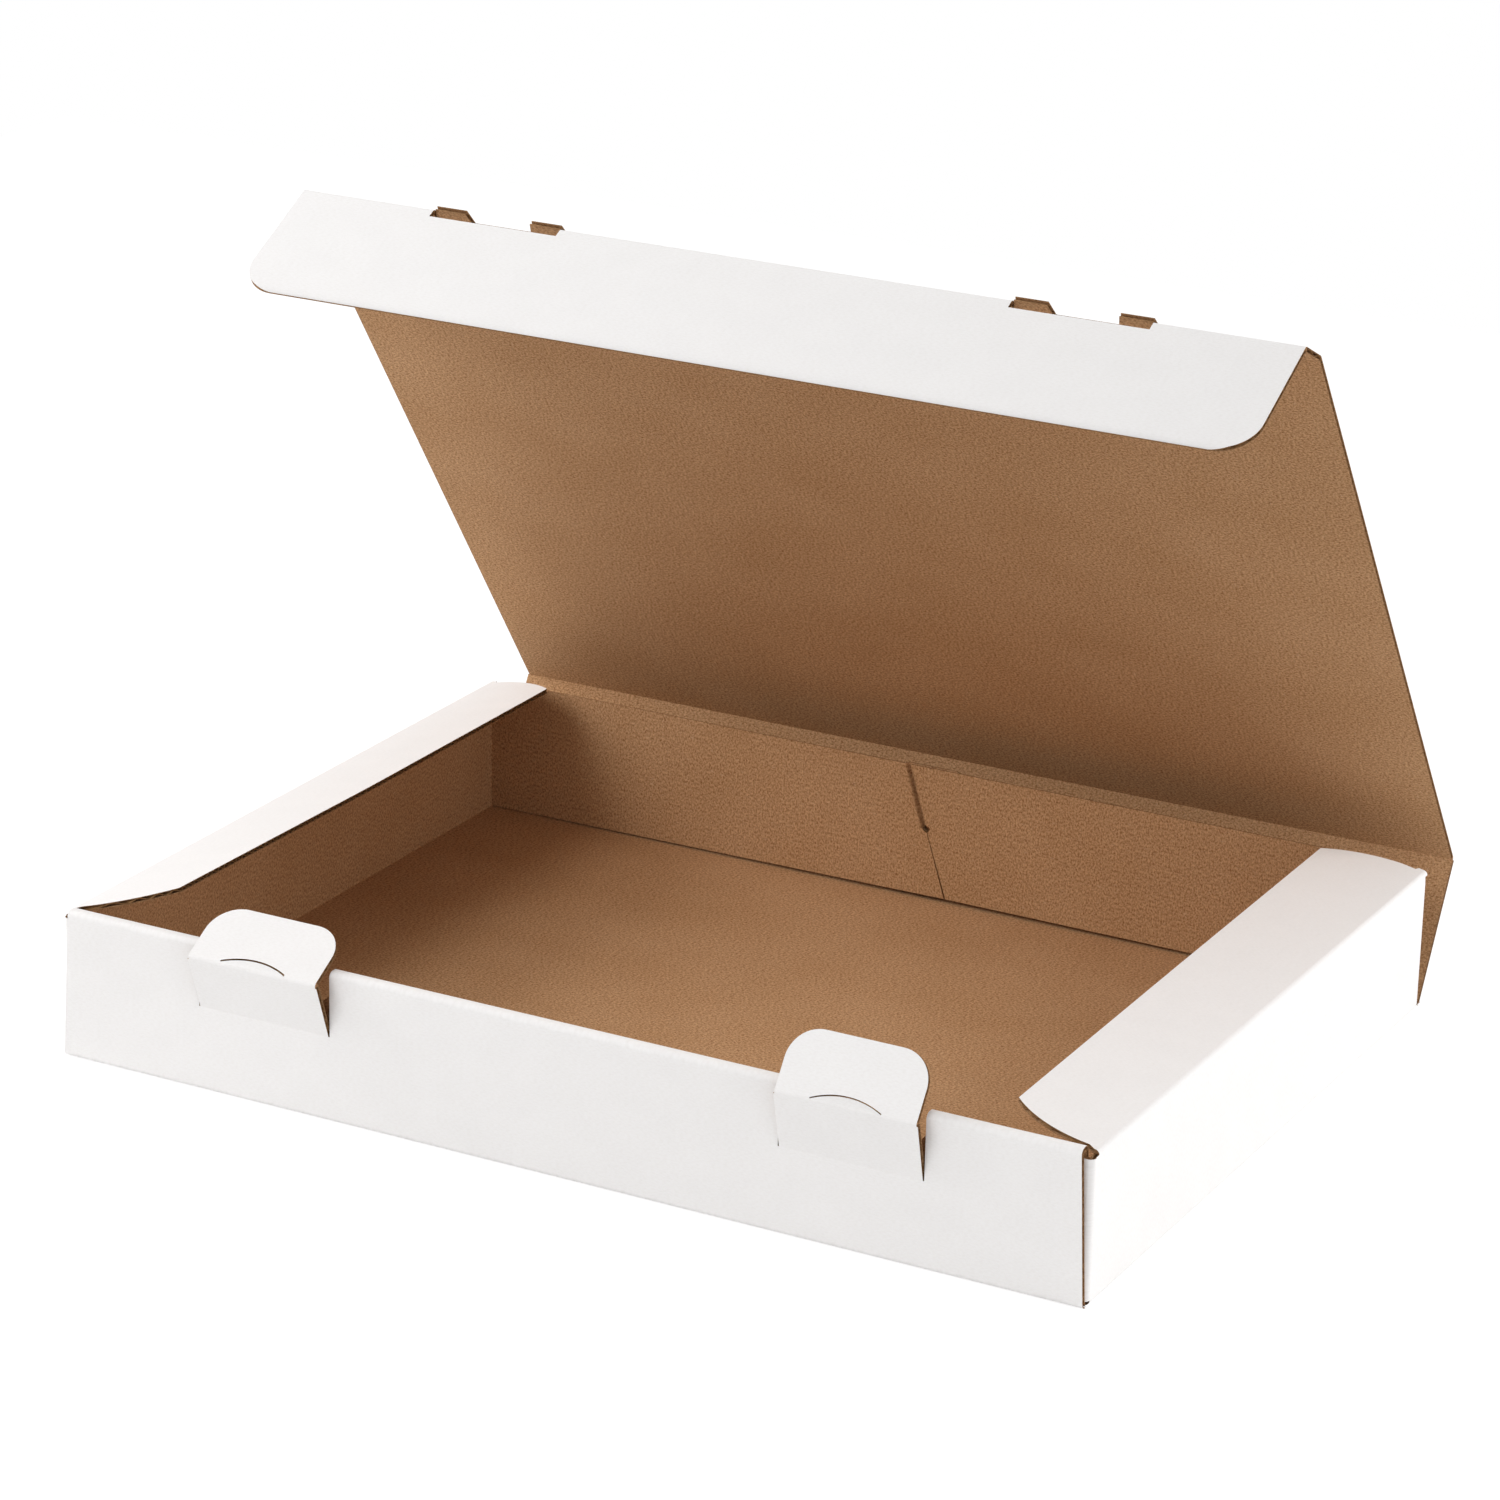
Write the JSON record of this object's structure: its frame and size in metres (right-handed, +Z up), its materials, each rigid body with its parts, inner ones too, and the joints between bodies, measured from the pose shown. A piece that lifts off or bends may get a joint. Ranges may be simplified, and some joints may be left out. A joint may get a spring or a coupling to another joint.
{
  "type": "flat mailer box",
  "caption": "Shallow corrugated mailer box standing open, with a hinged lid, tuck flap, side flaps and lock tabs.",
  "frame": {"origin": "middle of the closed box's footprint, on the underside of the base", "axes": "+X along the front to the right, +Y from the front to the lid's hinge, +Z up"},
  "size_m": [0.34, 0.2826, 0.2429],
  "materials": {
    "board": "matt"
  },
  "bodies": {
    "tray": {"tray": "board"},
    "back_wall": {"back_wall": "board"},
    "lid": {"lid": "board"},
    "tuck_flap": {"tuck_flap": "board"},
    "left_top_flap": {"left_top_flap": "board"},
    "right_top_flap": {"right_top_flap": "board"},
    "left_tab_panel": {"left_tab_panel": "board"},
    "right_tab_panel": {"right_tab_panel": "board"},
    "left_tab_tip": {"left_tab_tip": "board"},
    "right_tab_tip": {"right_tab_tip": "board"}
  },
  "joints": [
    {"name": "back_wall_hinge", "type": "hinge", "parent": "tray", "child": "back_wall", "pos_m": [0, 0.125, 0.0015], "axis": [-1, 0, 0], "range_deg": [-29.5, 60.5]},
    {"name": "lid_hinge", "type": "hinge", "parent": "back_wall", "child": "lid", "pos_m": [0, 0.14775, 0.04171], "axis": [-1, 0, 0], "range_deg": [-25, 65]},
    {"name": "tuck_hinge", "type": "hinge", "parent": "lid", "child": "tuck_flap", "pos_m": [0, 0.00459, 0.24041], "axis": [-1, 0, 0], "range_deg": [-6.5, 68.5]},
    {"name": "left_flap_hinge", "type": "hinge", "parent": "tray", "child": "left_top_flap", "pos_m": [-0.1685, 0, 0.0448], "axis": [0, -1, 0], "range_deg": [-13, 77]},
    {"name": "right_flap_hinge", "type": "hinge", "parent": "tray", "child": "right_top_flap", "pos_m": [0.1685, 0, 0.0448], "axis": [0, 1, 0], "range_deg": [-9, 81]},
    {"name": "left_tab_hinge", "type": "hinge", "parent": "tray", "child": "left_tab_panel", "pos_m": [-0.0972, -0.1265, 0.0272], "axis": [1, 0, 0], "range_deg": [-20, 70]},
    {"name": "left_tip_hinge", "type": "hinge", "parent": "left_tab_panel", "child": "left_tab_tip", "pos_m": [-0.0972, -0.13142, 0.0451], "axis": [1, 0, 0], "range_deg": [-10, 80]},
    {"name": "right_tab_hinge", "type": "hinge", "parent": "tray", "child": "right_tab_panel", "pos_m": [0.0972, -0.1265, 0.0272], "axis": [1, 0, 0], "range_deg": [-14, 76]},
    {"name": "right_tip_hinge", "type": "hinge", "parent": "right_tab_panel", "child": "right_tab_tip", "pos_m": [0.0972, -0.12952, 0.04551], "axis": [1, 0, 0], "range_deg": [-41, 49]}
  ]
}
